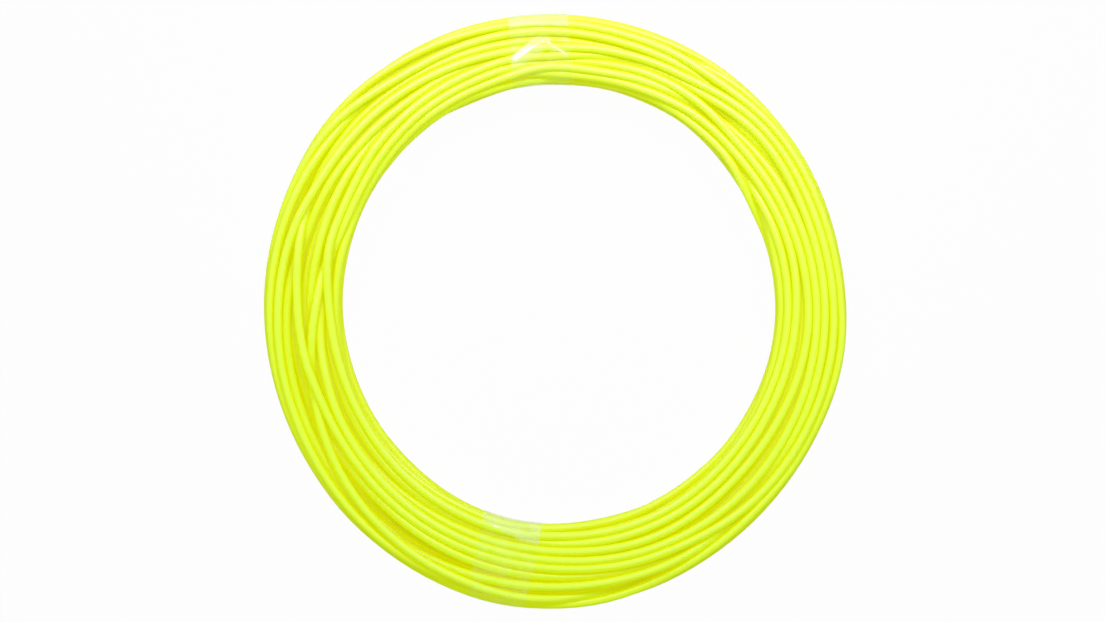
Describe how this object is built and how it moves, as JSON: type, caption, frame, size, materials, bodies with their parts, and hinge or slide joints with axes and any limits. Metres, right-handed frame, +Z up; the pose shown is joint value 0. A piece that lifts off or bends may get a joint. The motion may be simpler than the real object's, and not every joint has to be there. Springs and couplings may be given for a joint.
{
  "type": "string coil",
  "caption": "Round flat coil of fluorescent yellow racket string, held together by bands of clear adhesive tape.",
  "frame": {"origin": "middle of the coil on the surface that it lies on", "axes": "+Z up out of the flat coil, +Y from the middle towards the back tape, +X to the right of that seen from above"},
  "size_m": [0.0932, 0.0933, 0.0073],
  "materials": {
    "string": "glossy translucent fluorescent co-polyester monofilament",
    "clear_film": "clear glossy polypropylene tape film"
  },
  "bodies": {
    "root": {"string_coil": "string", "back_tape": "clear_film", "front_tape": "clear_film"}
  },
  "joints": []
}
